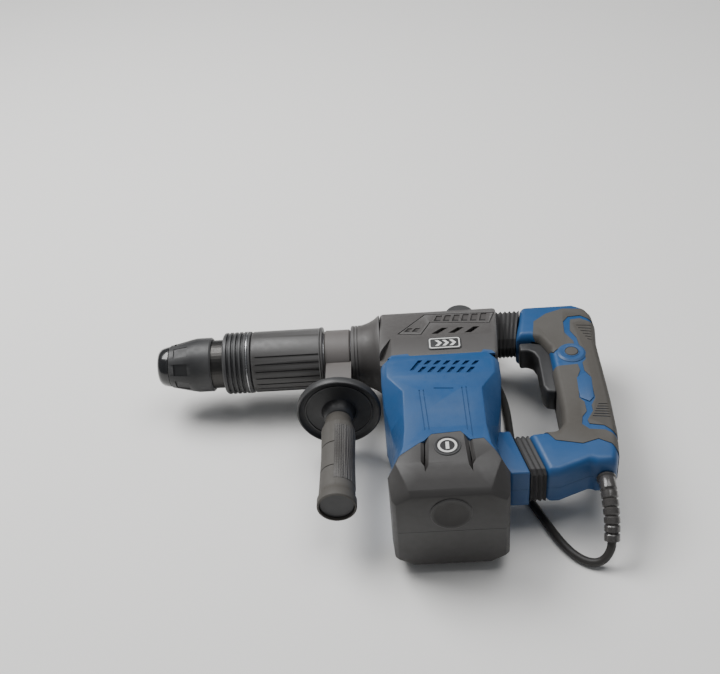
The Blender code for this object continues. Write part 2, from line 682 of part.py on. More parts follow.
handle_hollow = cutter("handle_hollow", prism(inset(HANDLE_OUTLINE, 7.2), -18.6, 18.6))
rear_recess = cutter("rear_recess", prism(pad_recess(REAR_PAD, PAD, 8.0), -16.0, 16.0))
front_recess = cutter("front_recess", prism(pad_recess(FRONT_PAD, PAD, 8.0), -16.0, 16.0))
trigger_slot = cutter("trigger_slot", box((97.0, 124.0), (-90.0, -3.0), (-13.6, 13.6)))
button_bore = cutter("button_bore", turn(rod_profile(12.0, 30.0, 6.8), "z", BUTTON_XY))
gland_bore = cutter("gland_bore", turn(rod_profile(-200.0, -180.0, 5.0), "y", (143.5, 0.0)))
handle_left, handle_right = halves(
    "handle_shell", build_handle, BLUE,
    hollows=(handle_hollow, rear_recess, front_recess, trigger_slot, gland_bore))
combine(handle_left, "DIFFERENCE", button_bore)
place("grip_pad_rear", prism(pad_recess(REAR_PAD, PAD - GAP, 0.0), -15.7, 15.7), SOFT)
place("grip_pad_front", prism(pad_recess(FRONT_PAD[:-1], PAD - GAP, 0.0), -15.7, 15.7), SOFT)

TRIGGER_OUTLINE = [
    (84.5, -9.0), (96.0, -9.0), (112.0, -13.0), (116.0, -24.0), (116.0, -83.0),
    (112.0, -86.0), (104.0, -84.0), (101.0, -76.0), (101.0, -34.0), (98.0, -25.0),
    (92.0, -21.0), (84.5, -21.0),
]
place("trigger", prism(TRIGGER_OUTLINE, -12.8, 12.8), BLACK, (*TRIGGER_PIVOT, 0.0))
place("trigger_switch", box((125.0, 147.0), (-78.0, -24.0), (-9.0, 9.0)), BLACK)
place("lock_button", turn(rod_profile(13.5, 23.4, 6.4, 1.0), "z", BUTTON_XY, 20), GREY,
      (*BUTTON_XY, 18.0))


# ---------------------------------------------------------------- bellows and dampers
def bellows(name, section, front, rear, folds, centre):
    """A ribbed boot between two leaning faces; front and rear give x at each y."""
    def ring(share, scale):
        points = []
        for y, z in section:
            y_here = centre + (y - centre) * scale
            x = front(y_here) + (rear(y_here) - front(y_here)) * share
            points.append((x, y_here, z * scale))
        return points

    rings = [ring(0.0, 1.0)]
    for k in range(1, 2 * folds):
        rings.append(ring(k / (2.0 * folds), 0.92 if k % 2 else 1.0))
    rings += [ring(1.0, 1.0), ring(1.0, 0.80), ring(0.0, 0.80)]
    return place(name, loft(rings, closed=True), RUBBER)


def mirrored(section):
    return section + [(y, -z) for y, z in reversed(section)]


bellows("upper_bellows",
        mirrored([(-8.0, 5.0), (-2.0, 13.0), (15.0, 21.0), (35.0, 21.0), (42.0, 14.0)]),
        lambda y: cover_rear(y) + 0.5, lambda y: 81.4 + 9.6 * (y + 8.0) / 50.0 - 0.6,
        5, 17.0)
bellows("lower_bellows",
        mirrored([(-200.5, 17.0), (-196.0, 21.0), (-154.0, 21.0), (-149.5, 17.0)]),
        lambda y: 61.0 - 12.8 * (y + 146.0) / 55.0 + 0.5,
        lambda y: 76.8 - 12.0 * (y + 149.0) / 51.5 - 0.6, 3, -175.0)
spring("upper_damper_spring", 3.0, 9.0, 1.3, 65.0, 84.5, (17.0, 0.0), STEEL)
spring("lower_damper_spring", 2.0, 8.0, 1.2, 69.9, 79.8, (-174.0, 0.0), STEEL)

# ---------------------------------------------------------------- cord
relief_path = smooth_route(RELIEF_ROUTE, 6.0)
relief_radii = [8.2 - 1.2 * i / (len(relief_path) - 1) for i in range(len(relief_path))]
place("strain_relief", sweep(relief_path, relief_radii, 14), GLOSS)

cord_path = smooth_route(CORD_ROUTE, 2.5 * 2.0 * CORD_R)
cord_curve = bpy.data.curves.new("cord", "CURVE")
cord_curve.dimensions = "3D"
cord_curve.bevel_depth = CORD_R * MM
cord_curve.bevel_resolution = 2
cord_curve.use_fill_caps = True
cord_line = cord_curve.splines.new("POLY")
cord_line.points.add(len(cord_path) - 1)
for target, spot in zip(cord_line.points, cord_path):
    target.co = (*(spot * MM), 1.0)
cord_curve.materials.append(RUBBER)
cord = bpy.data.objects.new("cord", cord_curve)
cord.parent = tool_axes
bpy.context.scene.collection.objects.link(cord)

coil_top = FLOOR + 2.0 * CORD_R * COIL_LAYERS
place("cord_coil", turn(
    [(FLOOR, COIL_RADII[0] - CORD_R), (FLOOR, COIL_RADII[-1] + CORD_R),
     (coil_top, COIL_RADII[-1] + CORD_R), (coil_top, COIL_RADII[0] - CORD_R)],
    "z", COIL_CENTRE, 36), RUBBER)

# the plug lies on the coil, behind the gear cover, with its pins towards the rear handle
PLUG_HALF_HEIGHT = 13.0
plug_place = Matrix.Translation((PLUG_XY[0], PLUG_XY[1], coil_top + GAP + PLUG_HALF_HEIGHT))


def plug_ring(along, half_y, half_z, corner):
    quarter = [(half_y - corner, half_z), (half_y, half_z - corner)]
    pairs = quarter + [(y, -z) for y, z in reversed(quarter)]
    pairs += [(-y, -z) for y, z in quarter] + [(-y, z) for y, z in reversed(quarter)]
    return [(along, y, z) for y, z in pairs]


plug = loft([plug_ring(0.0, 5.5, 5.5, 2.0), plug_ring(20.0, 7.0, 7.0, 2.5),
             plug_ring(26.0, 14.0, 10.0, 4.0), plug_ring(34.0, 18.5, 13.0, 6.0),
             plug_ring(PLUG_LENGTH, 18.5, 13.0, 6.0)])
plug.transform(plug_place)
place("plug_body", plug, BLACK)
face = loft([plug_ring(PLUG_LENGTH + GAP, 14.0, 9.0, 4.0),
             plug_ring(PLUG_LENGTH + 2.3, 14.0, 9.0, 4.0)])
face.transform(plug_place)
plug_pins = place("plug_pins", face, BRASS)
for letter, side in (("a", 9.5), ("b", -9.5)):
    pin = turn(rod_profile(PLUG_LENGTH + 1.2, PLUG_LENGTH + 21.0, 2.4, 1.0), "x",
               (side, 0.0), 12)
    pin.transform(plug_place)
    combine(plug_pins, "UNION", cutter(f"plug_pin_{letter}", pin))
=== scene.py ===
"""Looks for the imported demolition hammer: detailed casings, barrel, handles and cord.

Sizes are millimetres in the tool's own axes, as in the CAD: x along the barrel, y towards
the tool's top and z from the middle plane of the casing.  LAY_OUT brings them into the
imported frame, where the tool lies on its right side.
"""
import json
import math

import bmesh
import bpy
from mathutils import Matrix, Vector


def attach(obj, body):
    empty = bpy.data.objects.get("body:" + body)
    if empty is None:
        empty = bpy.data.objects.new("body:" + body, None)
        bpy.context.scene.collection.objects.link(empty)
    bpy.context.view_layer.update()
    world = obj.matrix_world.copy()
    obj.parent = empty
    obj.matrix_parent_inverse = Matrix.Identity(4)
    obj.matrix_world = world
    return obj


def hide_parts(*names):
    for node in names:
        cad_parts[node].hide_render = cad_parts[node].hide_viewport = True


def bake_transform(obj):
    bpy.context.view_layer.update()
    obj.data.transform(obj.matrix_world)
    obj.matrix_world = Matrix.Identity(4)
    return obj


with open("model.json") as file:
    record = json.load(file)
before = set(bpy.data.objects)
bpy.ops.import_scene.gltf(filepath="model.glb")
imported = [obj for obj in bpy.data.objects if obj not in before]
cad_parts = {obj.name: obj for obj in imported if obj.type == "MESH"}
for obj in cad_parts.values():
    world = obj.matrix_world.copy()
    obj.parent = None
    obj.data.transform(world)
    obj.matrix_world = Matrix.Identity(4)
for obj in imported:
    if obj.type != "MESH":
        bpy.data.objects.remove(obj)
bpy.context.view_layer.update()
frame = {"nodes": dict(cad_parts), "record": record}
NODES = frame["nodes"]

MM = 0.001
HALF_WIDTH = 57.0
AXIS_Y = 150.0
FLOOR = -HALF_WIDTH
LAY_OUT = Matrix.Translation((0.0, AXIS_Y * MM, HALF_WIDTH * MM)) @ Matrix.Scale(MM, 4)

GAP = 0.3  # clearance between neighbouring pieces
FAR = 400.0  # beyond the tool on every side, for cutters
SIDES = 72  # of a turned piece
EDGE_ANGLE = 28.0  # edges sharper than this are rounded
HALVES = (("left", 1), ("right", -1))


# ---------------------------------------------------------------- materials
def nodes_of(name):
    mat = bpy.data.materials.new(name)
    mat.use_nodes = True
    tree = mat.node_tree
    return mat, tree, tree.nodes["Principled BSDF"]


def noise(tree, scale, detail=4.0, rough=0.55):
    where = tree.nodes.new("ShaderNodeTexCoord")
    node = tree.nodes.new("ShaderNodeTexNoise")
    node.inputs["Scale"].default_value = scale
    node.inputs["Detail"].default_value = detail
    node.inputs["Roughness"].default_value = rough
    tree.links.new(where.outputs["Object"], node.inputs["Vector"])
    return node.outputs["Fac"]


def spread(tree, value, low, high, start=0.3, end=0.7):
    node = tree.nodes.new("ShaderNodeMapRange")
    node.inputs["From Min"].default_value = start
    node.inputs["From Max"].default_value = end
    node.inputs["To Min"].default_value = low
    node.inputs["To Max"].default_value = high
    tree.links.new(value, node.inputs["Value"])
    return node.outputs["Result"]


def mixed(tree, factor, base, light):
    """Mix a base, which is a colour or a socket, towards a second colour."""
    node = tree.nodes.new("ShaderNodeMix")
    node.data_type = "RGBA"
    if isinstance(base, tuple):
        node.inputs["A"].default_value = (*base, 1.0)
    else:
        tree.links.new(base, node.inputs["A"])
    node.inputs["B"].default_value = (*light, 1.0)
    tree.links.new(factor, node.inputs["Factor"])
    return node.outputs["Result"]


def bump(tree, shader, height, distance):
    node = tree.nodes.new("ShaderNodeBump")
    node.inputs["Distance"].default_value = distance
    node.inputs["Strength"].default_value = 1.0
    tree.links.new(height, node.inputs["Height"])
    tree.links.new(node.outputs["Normal"], shader.inputs["Normal"])


def tint(colour, gain):
    return tuple(min(1.0, c * gain) for c in colour)


def moulded(name, colour, roughness, grain=1700.0, depth=0.00006, wear=0.35, coat=0.0):
    """Moulded plastic or rubber: fine spark grain, faint mottling and paler worn edges."""
    mat, tree, shader = nodes_of(name)
    base = mixed(tree, noise(tree, 42.0), tint(colour, 0.88), tint(colour, 1.12))
    edge = tree.nodes.new("ShaderNodeNewGeometry").outputs["Pointiness"]
    worn = spread(tree, edge, 0.0, wear, 0.515, 0.58)
    pale = tuple(0.55 * c + 0.13 for c in colour)
    tree.links.new(mixed(tree, worn, base, pale), shader.inputs["Base Color"])
    rough = spread(tree, noise(tree, 160.0), roughness - 0.05, roughness + 0.07)
    tree.links.new(rough, shader.inputs["Roughness"])
    shader.inputs["Metallic"].default_value = 0.0
    shader.inputs["Specular IOR Level"].default_value = 0.35
    shader.inputs["Coat Weight"].default_value = coat
    shader.inputs["Coat Roughness"].default_value = 0.12
    bump(tree, shader, noise(tree, grain, 3.0), depth)
    return mat


def studded(name, colour, roughness):
    """Soft grip with rows of small round studs."""
    mat = moulded(name, colour, roughness)
    tree = mat.node_tree
    where = tree.nodes.new("ShaderNodeTexCoord")
    cells = tree.nodes.new("ShaderNodeTexVoronoi")
    cells.inputs["Scale"].default_value = 480.0
    cells.inputs["Randomness"].default_value = 0.15
    tree.links.new(where.outputs["Object"], cells.inputs["Vector"])
    bump(tree, tree.nodes["Principled BSDF"],
         spread(tree, cells.outputs["Distance"], 1.0, 0.0, 0.2, 0.6), 0.0009)
    return mat


def metal(name, colour, roughness, across=(1.0, 1.0, 1.0), depth=0.00002):
    """Turned or ground metal: fine streaks, stretched along one axis, and a little stain."""
    mat, tree, shader = nodes_of(name)
    where = tree.nodes.new("ShaderNodeTexCoord")
    stretch = tree.nodes.new("ShaderNodeMapping")
    stretch.inputs["Scale"].default_value = across
    lines = tree.nodes.new("ShaderNodeTexNoise")
    lines.inputs["Scale"].default_value = 900.0
    tree.links.new(where.outputs["Object"], stretch.inputs["Vector"])
    tree.links.new(stretch.outputs["Vector"], lines.inputs["Vector"])
    stain = mixed(tree, noise(tree, 60.0), tint(colour, 0.8), tint(colour, 1.1))
    tree.links.new(stain, shader.inputs["Base Color"])
    rough = spread(tree, lines.outputs["Fac"], roughness - 0.08, roughness + 0.10)
    tree.links.new(rough, shader.inputs["Roughness"])
    shader.inputs["Metallic"].default_value = 1.0
    bump(tree, shader, lines.outputs["Fac"], depth)
    return mat


BLUE = moulded("moulded_blue", (0.010, 0.064, 0.182), 0.42, wear=0.2)
# painted shade: the cover's grey darkened, standing in for the shade that falls on the motor
# cap
CAP_SHADED_GREY = moulded("cap_grey_painted_shade", (0.026, 0.024, 0.023), 0.47)
GREY = moulded("moulded_grey", (0.062, 0.058, 0.056), 0.47)
BLACK = moulded("moulded_black", (0.020, 0.020, 0.021), 0.42)
BAND = moulded("band_grey", (0.090, 0.080, 0.075), 0.50)
BARREL = moulded("barrel_grey", (0.045, 0.043, 0.042), 0.40)
SOFT = moulded("soft_overmould", (0.062, 0.057, 0.050), 0.66, grain=2600.0, depth=0.00009,
               wear=0.15)
KNURL = studded("studded_overmould", (0.055, 0.050, 0.045), 0.62)
RUBBER = moulded("bellows_rubber", (0.020, 0.019, 0.019), 0.55, grain=900.0, wear=0.2)
CORD_RUBBER = moulded("cord_rubber", (0.034, 0.032, 0.030), 0.45, grain=600.0, wear=0.0)
GLOSS = moulded("gloss_rubber", (0.010, 0.010, 0.011), 0.20, grain=500.0, depth=0.00003,
                wear=0.1, coat=0.6)
RELIEF_GLOSS = moulded("relief_rubber", (0.050, 0.047, 0.045), 0.26, grain=500.0,
                       depth=0.00003, wear=0.1, coat=0.5)
STEEL = metal("ground_steel", (0.46, 0.46, 0.47), 0.27, (0.05, 1.0, 1.0))
NECK_STEEL = metal("blackened_steel", (0.060, 0.058, 0.056), 0.38)
CAST = metal("cast_alloy", (0.42, 0.42, 0.43), 0.52, depth=0.00012)
CORE = metal("laminated_iron", (0.17, 0.17, 0.18), 0.42, (1.0, 12.0, 1.0), 0.0001)
COPPER = metal("copper", (0.70, 0.32, 0.17), 0.30, (1.0, 0.1, 1.0))
BRASS = metal("brass", (0.60, 0.45, 0.19), 0.30)
CARBON = moulded("carbon", (0.030, 0.030, 0.031), 0.60, wear=0.1)
WHITE = moulded("white_print", (0.62, 0.62, 0.60), 0.50, wear=0.0)
# painted shade: a near-black finish for the plates that stand in for the shadow in the louvre
# slits
SLIT_SHADE = moulded("painted_slit_shade", (0.006, 0.006, 0.006), 0.60, wear=0.0)


# ---------------------------------------------------------------- geometry helpers
def link(thing):
    bpy.context.scene.collection.objects.link(thing)
    return thing


def loft(rings):
    """A closed skin over rings of equal length, capped at both ends."""
    bm = bmesh.new()
    made = [[bm.verts.new(point) for point in ring] for ring in rings]
    bm.faces.new(made[0][::-1])
    bm.faces.new(made[-1])
    for low, high in zip(made, made[1:]):
        for i in range(len(low)):
            j = (i + 1) % len(low)
            bm.faces.new((low[i], low[j], high[j], high[i]))
    bmesh.ops.recalc_face_normals(bm, faces=bm.faces)
    return bm


def prism(outline, low, high, plane="xy"):
    """An outline in one plane, drawn out between two levels."""
    lift = {
        "xy": lambda a, b, c: (a, b, c),
        "xz": lambda a, b, c: (a, c, b),
        "yz": lambda a, b, c: (c, a, b),
    }[plane]
    return loft([[lift(a, b, level) for a, b in outline] for level in (low, high)])


def box(x, y, z):
    return prism([(x[0], y[0]), (x[1], y[0]), (x[1], y[1]), (x[0], y[1])], z[0], z[1])


def turn(profile, axis="x", centre=(0.0, 0.0), sides=SIDES):
    """Revolve a closed (along, radius) profile about an axis through centre."""
    bm = bmesh.new()
    rings = []
    for along, radius in profile:
        count = sides if radius > 0.0 else 1
        ring = []
        for i in range(count):
            angle = 2.0 * math.pi * i / sides
            u = centre[0] + radius * math.cos(angle)
            v = centre[1] + radius * math.sin(angle)
            spot = {"x": (along, u, v), "y": (u, along, v), "z": (u, v, along)}[axis]
            ring.append(bm.verts.new(spot))
        rings.append(ring)
    for first, second in zip(rings, rings[1:] + rings[:1]):
        for i in range(sides):
            j = (i + 1) % sides
            corners = [first[i % len(first)], first[j % len(first)]]
            corners += [second[j % len(second)], second[i % len(second)]]
            unique = list(dict.fromkeys(corners))
            if len(unique) > 2:
                bm.faces.new(unique)
    bmesh.ops.recalc_face_normals(bm, faces=bm.faces)
    return bm


def tube_profile(low, high, inner, outer):
    return [(low, inner), (low, outer), (high, outer), (high, inner)]


def rod_profile(low, high, radius, edge=0.5):
    return [(low, 0.0), (low, radius - edge), (low + edge, radius),
            (high - edge, radius), (high, radius - edge), (high, 0.0)]


def ring_profile(low, high, inner, outer, edge=0.6):
    """A band's section with small chamfers on its outer corners."""
    return [(low, inner), (low, outer - edge), (low + edge, outer), (high - edge, outer),
            (high, outer - edge), (high, inner)]


def sweep(path, radii, sides):
    """A round bar along a path, with its own radius at each point."""
    spots = [Vector(p) for p in path]
    rings = []
    side = Vector((0.0, 0.0, 1.0))
    for i, spot in enumerate(spots):
        ahead = spots[min(i + 1, len(spots) - 1)] - spots[max(i - 1, 0)]
        ahead.normalize()
        if abs(ahead.dot(side)) > 0.95:
            side = Vector((0.0, 1.0, 0.0))
        side = (side - ahead * ahead.dot(side)).normalized()
        other = ahead.cross(side)
        rings.append([spot + radii[i] * (side * math.cos(a) + other * math.sin(a))
                      for a in (2.0 * math.pi * k / sides for k in range(sides))])
    return loft(rings)


def smooth_route(points, spacing):
    """Even steps along a Catmull-Rom curve through the points."""
    spots = [Vector(p) for p in points]
    spots = [2 * spots[0] - spots[1]] + spots + [2 * spots[-1] - spots[-2]]
    fine = []
    for a, b, c, d in zip(spots, spots[1:], spots[2:], spots[3:]):
        for k in range(20):
            t = k / 20.0
            fine.append(0.5 * (2 * b + (c - a) * t + (2 * a - 5 * b + 4 * c - d) * t * t
                               + (3 * b - a - 3 * c + d) * t ** 3))
    fine.append(spots[-2])
    lengths = [0.0]
    for p, q in zip(fine, fine[1:]):
        lengths.append(lengths[-1] + (q - p).length)
    count = max(2, round(lengths[-1] / spacing))
    even, k = [], 0
    for i in range(count + 1):
        want = lengths[-1] * i / count
        while k < len(fine) - 2 and lengths[k + 1] < want:
            k += 1
        share = (want - lengths[k]) / (lengths[k + 1] - lengths[k])
        even.append(fine[k].lerp(fine[k + 1], share))
    return even


def arc(cx, cy, radius, start, end, steps=12):
    turns = (math.radians(start + (end - start) * i / steps) for i in range(steps + 1))
    return [(cx + radius * math.cos(a), cy + radius * math.sin(a)) for a in turns]


def inset(outline, distance):
    """Move each side of a clockwise outline inwards by the distance."""
    result = []
    count = len(outline)
    for i in range(count):
        before, here, after = (Vector(outline[(i + k) % count]) for k in (-1, 0, 1))
        first = (here - before).normalized()
        second = (after - here).normalized()
        inward_a = Vector((first.y, -first.x))
        inward_b = Vector((second.y, -second.x))
        middle = inward_a + inward_b
        result.append(tuple(here + middle * (distance / (1.0 + inward_a.dot(inward_b)))))
    return result


def raw(name, bm):
    """Link an object made of tool millimetres, laid out in the frame."""
    bm.transform(LAY_OUT)
    mesh = bpy.data.meshes.new(name)
    bm.to_mesh(mesh)
    bm.free()
    return link(bpy.data.objects.new(name, mesh))


def boolean(thing, operation, tool):
    step = thing.modifiers.new("shape", "BOOLEAN")
    step.operation = operation
    step.solver = "EXACT"
    step.object = tool


def round_edges(thing, width, segments):
    step = thing.modifiers.new("round", "BEVEL")
    step.width = width * MM
    step.segments = segments
    step.limit_method = "ANGLE"
    step.angle_limit = math.radians(EDGE_ANGLE)
    step.use_clamp_overlap = True
    step.harden_normals = False


def bake(thing, tools=()):
    """Apply the modifiers and drop the helper objects."""
    shaped = thing.evaluated_get(bpy.context.evaluated_depsgraph_get())
    mesh = bpy.data.meshes.new_from_object(shaped)
    thing.modifiers.clear()
    thing.data = mesh
    for tool in tools:
        bpy.data.objects.remove(tool, do_unlink=True)


def show(thing, mat, body, replaces=(), angle=32.0):
    """Give a piece its material and body, hide the CAD parts it replaces, and keep edges above
    the angle sharp.
    """
    thing.data.materials.clear()
    thing.data.materials.append(mat)
    thing.data.shade_smooth()
    thing.data.set_sharp_from_angle(angle=math.radians(angle))
    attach(thing, body)
    if replaces:
        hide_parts(*replaces)
    return thing


def piece(name, bm, mat, body, replaces=(), cuts=(), joins=(), edge=0.0, segments=2,
          angle=32.0):
    """A finished piece: a shape with rounded edges, then what joins it, then its cuts."""
    thing = raw(name, bm)
    if edge:
        round_edges(thing, edge, segments)
    tools = []
    for operation, shapes in (("UNION", joins), ("DIFFERENCE", cuts)):
        for shape in shapes:
            tool = raw("tool", shape)
            boolean(thing, operation, tool)
            tools.append(tool)
    bake(thing, tools)
    return show(thing, mat, body, replaces, angle)


# ---------------------------------------------------------------- shared shapes
VENT_WIDTH = 4.2
VENT_DEPTH = 2.4


def other_half(side):
    """Everything across the middle plane from one half of a casing."""
    return box((-FAR, FAR), (-FAR, FAR), (-FAR, GAP / 2) if side > 0 else (-GAP / 2, FAR))


def together(shapes):
    """One mesh of several shapes that don't touch."""
    result = bmesh.new()
    for shape in shapes:
        part = bpy.data.meshes.new("part")
        shape.to_mesh(part)
        shape.free()
        result.from_mesh(part)
        bpy.data.meshes.remove(part)
    return result


def about_x(bm, degrees):
    bm.transform(Matrix.Rotation(math.radians(degrees), 4, "X"))
    return bm


def mirrored(bm):
    """The same shape on the tool's right side."""
    bm.transform(Matrix.Scale(-1.0, 4, (0.0, 0.0, 1.0)))
    bmesh.ops.reverse_faces(bm, faces=bm.faces)
    return bm


def on_side(side, shapes):
    """Shapes made for the left side, as they are or on the right side."""
    return shapes if side > 0 else [mirrored(shape) for shape in shapes]


def four_fold(quarter):
    """A closed outline from the points of its first quarter."""
    pairs = quarter + [(a, -b) for a, b in reversed(quarter)]
    return pairs + [(-a, -b) for a, b in quarter] + [(-a, b) for a, b in reversed(quarter)]


def bar_outline(start, end, width, longer=0.0):
    """The corners of a straight bar between two points, made longer at both ends."""
    a, b = Vector(start), Vector(end)
    ahead = (b - a).normalized()
    across = Vector((-ahead.y, ahead.x)) * (width / 2.0)
    a, b = a - ahead * longer, b + ahead * longer
    return [tuple(p) for p in (a - across, b - across, b + across, a + across)]


def strip(start, end, width, low, high):
    """A straight bar between two points of the side view."""
    return prism(bar_outline(start, end, width), low, high)


def slope_z(y):
    """Height of the gear cover's side face."""
    return 54.0 - 0.324 * max(0.0, y + 41.0)


def pocket(outline, depths):
    """A pocket in the gear cover's sloping side, with its own depth at each corner."""
    floor = [(x, y, slope_z(y) - d) for (x, y), d in zip(outline, depths)]
    return loft([floor, [(x, y, slope_z(y) + 6.0) for x, y in outline]])


def slope_line(start, end, width, depth):
    """A groove between two points of the gear cover's sloping side."""
    return pocket(bar_outline(start, end, width, width / 2.0), [depth] * 4)


def slot(top, lean, tall):
    """A leaning vent slot whose top stands at a point of the side view."""
    x, y = top
    foot_x, foot_y = x + lean, y - tall
    return prism([(foot_x, foot_y), (foot_x + VENT_WIDTH, foot_y), (x + VENT_WIDTH, y), top],
                 HALF_WIDTH - VENT_DEPTH, HALF_WIDTH + 6.0)


# ---------------------------------------------------------------- nose and barrel
NOSE_X = -293.5
NECK_R = 25.5
TUBE_R = 24.5
BARREL_R = 32.0
SLEEVE_X = (-280.6, -235.5)
RING_X = (-222.5, -193.4)
GRIP_X = (-193.0, -118.0)

piece("nose_cap", turn([
    (NOSE_X, 10.0), (NOSE_X, 14.5), (-292.8, 16.6), (-291.0, 18.6), (-288.6, 20.0),
    (-285.0, 20.9), (-282.2, 21.4), (-281.2, 21.4), (-281.2, 14.3), (-288.0, 14.3),
    (-288.0, 10.0)]), GLOSS, "tool_holder", ("dust_cap",), angle=50.0)

sleeve_pockets = [
    about_x(prism([(-275.0, 22.3), (-260.0, 25.6), (-260.0, 34.0), (-275.0, 34.0)],
                  -6.0, 6.0, "xz"), 15.0 + 45.0 * k)
    for k in range(8)]
piece("sleeve_body", turn([
    (SLEEVE_X[0], 14.4), (SLEEVE_X[0], 21.6), (-279.8, 22.5), (-256.0, 27.8), (-252.0, 28.5),
    (-237.0, 28.5), (-235.5, 27.4), (-235.5, 26.0), (-256.5, 26.0), (-266.0, 22.2),
    (-272.0, 22.2), (-272.0, 14.4)]), BLACK, "release_sleeve", ("release_sleeve",),
    cuts=sleeve_pockets)

ring_section = [(RING_X[0], NECK_R + 0.4), (RING_X[0], 30.6), (RING_X[0] + 1.6, 32.3)]
for groove in (-217.0, -212.0, -207.0, -202.0):
    ring_section += [(groove - 1.5, 32.5), (groove - 0.9, 30.9), (groove + 0.9, 30.9),
                     (groove + 1.5, 32.5)]
ring_section += [(-198.2, 32.5), (-198.2, 31.4), (-196.0, 31.4), (-196.0, 32.5),
                 (-194.0, 32.4), (RING_X[1], 31.6), (RING_X[1], NECK_R + 0.4)]
piece("angle_ring_body", turn(ring_section), BLACK, "angle_ring", ("angle_ring",))
piece("angle_ring_clip", turn(ring_profile(-197.9, -196.3, 31.2, 32.8, 0.5)), STEEL,
      "angle_ring")

grip_grooves = [
    about_x(box((-188.0, -122.0), (-0.6, 0.6), (BARREL_R - 1.1, BARREL_R + 3.0)), angle)
    for angle in (side * (42.0 + 14.0 * k) for side in (1, -1) for k in range(8))]
grip_grooves.append(turn([(-120.9, BARREL_R - 0.7), (-120.9, 40.0), (-120.1, 40.0),
                          (-120.1, BARREL_R - 0.7)]))
piece("barrel_grip_body", turn([
    (GRIP_X[0], TUBE_R + GAP), (GRIP_X[0], BARREL_R - 2.0), (-192.2, BARREL_R - 0.7),
    (-190.5, BARREL_R), (-122.0, BARREL_R), (-120.9, 32.8), (-118.8, 32.8),
    (GRIP_X[1], 32.0), (GRIP_X[1], TUBE_R + GAP)]), BARREL, "tool_body",
    ("barrel_grip",), cuts=grip_grooves)

piece("front_collar_body", turn([
    (-88.5, TUBE_R + GAP), (-88.5, 31.4), (-87.6, 32.2), (-85.2, 32.2), (-85.2, 31.2),
    (-84.2, 31.2), (-84.2, 32.2), (-82.2, 32.2), (-82.2, 31.2), (-81.2, 31.2),
    (-81.2, 32.2), (-77.0, 32.4), (-70.0, 34.6), (-64.0, 37.8), (-60.0, 41.0),
    (-58.6, 41.5), (-58.6, TUBE_R + GAP)]), GREY, "tool_body", ("front_collar",),
    angle=40.0)


# ---------------------------------------------------------------- side handle
SIDE_X = -102.0
SCREW_R = 4.4
piece("clamp_band_body", turn(ring_profile(-116.5, -89.5, TUBE_R + GAP, 28.8, 1.4)),
      BAND, "side_clamp", ("clamp_band",),
      joins=[prism([(SIDE_X - 13.0, -24.0), (SIDE_X + 13.0, -24.0), (SIDE_X + 13.0, -66.0),
                    (SIDE_X + 9.0, -77.6), (SIDE_X - 9.0, -77.6), (SIDE_X - 13.0, -66.0)],
                   -14.0, 14.0)],
      cuts=[turn(rod_profile(-130.0, -80.0, TUBE_R + GAP)),
            turn(rod_profile(-90.0, -60.0, SCREW_R), "y", (SIDE_X, 0.0))])
piece("disc_guard_body", turn([
    (-78.0, SCREW_R), (-78.0, 31.6), (-78.9, 32.2), (-78.9, 33.2), (-78.0, 33.8),
    (-78.0, 39.6), (-78.8, 41.4), (-80.6, 42.0), (-85.0, 42.0), (-86.6, 41.2),
    (-86.8, 40.0), (-84.0, 37.6), (-83.4, 34.0), (-84.3, 33.6), (-84.3, 32.6),
    (-83.4, 32.2), (-83.2, 21.0), (-85.0, 17.4), (-90.0, 15.8),
    (-95.0, 13.8), (-96.0, 12.4), (-96.0, SCREW_R)], "y", (SIDE_X, 0.0)), BLACK,
    "side_clamp", ("disc_guard",), angle=40.0)

side_lines = [turn(tube_profile(y - 0.5, y + 0.5, 15.3, 24.0), "y", (SIDE_X, 0.0))
              for y in (-141.0, -172.0)]
piece("side_grip_body", turn([
    (-96.3, SCREW_R), (-96.3, 12.2), (-97.4, 13.0), (-104.0, 13.4), (-110.0, 15.2),
    (-114.0, 16.5), (-152.0, 15.9), (-194.0, 17.0), (-200.5, 17.2),
    (-203.0, 18.4), (-210.6, 18.4), (-211.5, 17.6), (-211.5, 16.4), (-206.0, 16.4),
    (-206.0, SCREW_R)], "y", (SIDE_X, 0.0)), SOFT, "side_grip",
    ("side_grip",), cuts=side_lines, angle=36.0)
piece("side_grip_knurl", turn(
    [(-118.0, 15.2), (-118.6, 16.8), (-152.0, 16.3), (-189.0, 17.3), (-190.0, 15.2)],
    "y", (SIDE_X, 0.0)), KNURL, "side_grip",
    cuts=[box((-FAR, SIDE_X - 2.0), (-FAR, FAR), (-FAR, FAR))], angle=36.0)


# ---------------------------------------------------------------- gear cover
TOP_Y = -71.0
COVER_SECTION = [(TOP_Y + GAP, 54.0), (-41.0, 54.0), (30.0, 31.0), (36.0, 23.0)]


def cover_shape(section, front, rear_step):
    def rear(y):
        return 57.0 + 7.0 * (y - TOP_Y) / 101.0 + rear_step
    full = section + [(y, -z) for y, z in reversed(section)]
    return loft([[(front, y, z) for y, z in full], [(rear(y), y, z) for y, z in full]])


LOUVRES = [(-2.0 + 9.2 * k, 1.0 - 1.1 * k) for k in range(6)]
SMALL_LOUVRES = [(-33.0, -24.0), (-25.4, -24.6)]


def louvre_shade_plates():
    """Dark plates at the feet of the louvres: painted shade standing in for the shadowed
    slits.
    """
    shapes = []
    for x, y in LOUVRES + SMALL_LOUVRES:
        foot = [(x + 0.2, y + 0.2), (x + 5.8, y - 0.3), (x + 7.0, y + 3.2), (x + 1.4, y + 4.0)]
        shapes.append(loft([[(u, v, slope_z(v) - 2.8) for u, v in foot],
                            [(u, v, slope_z(v) - 0.5) for u, v in foot]]))
    return together(shapes)


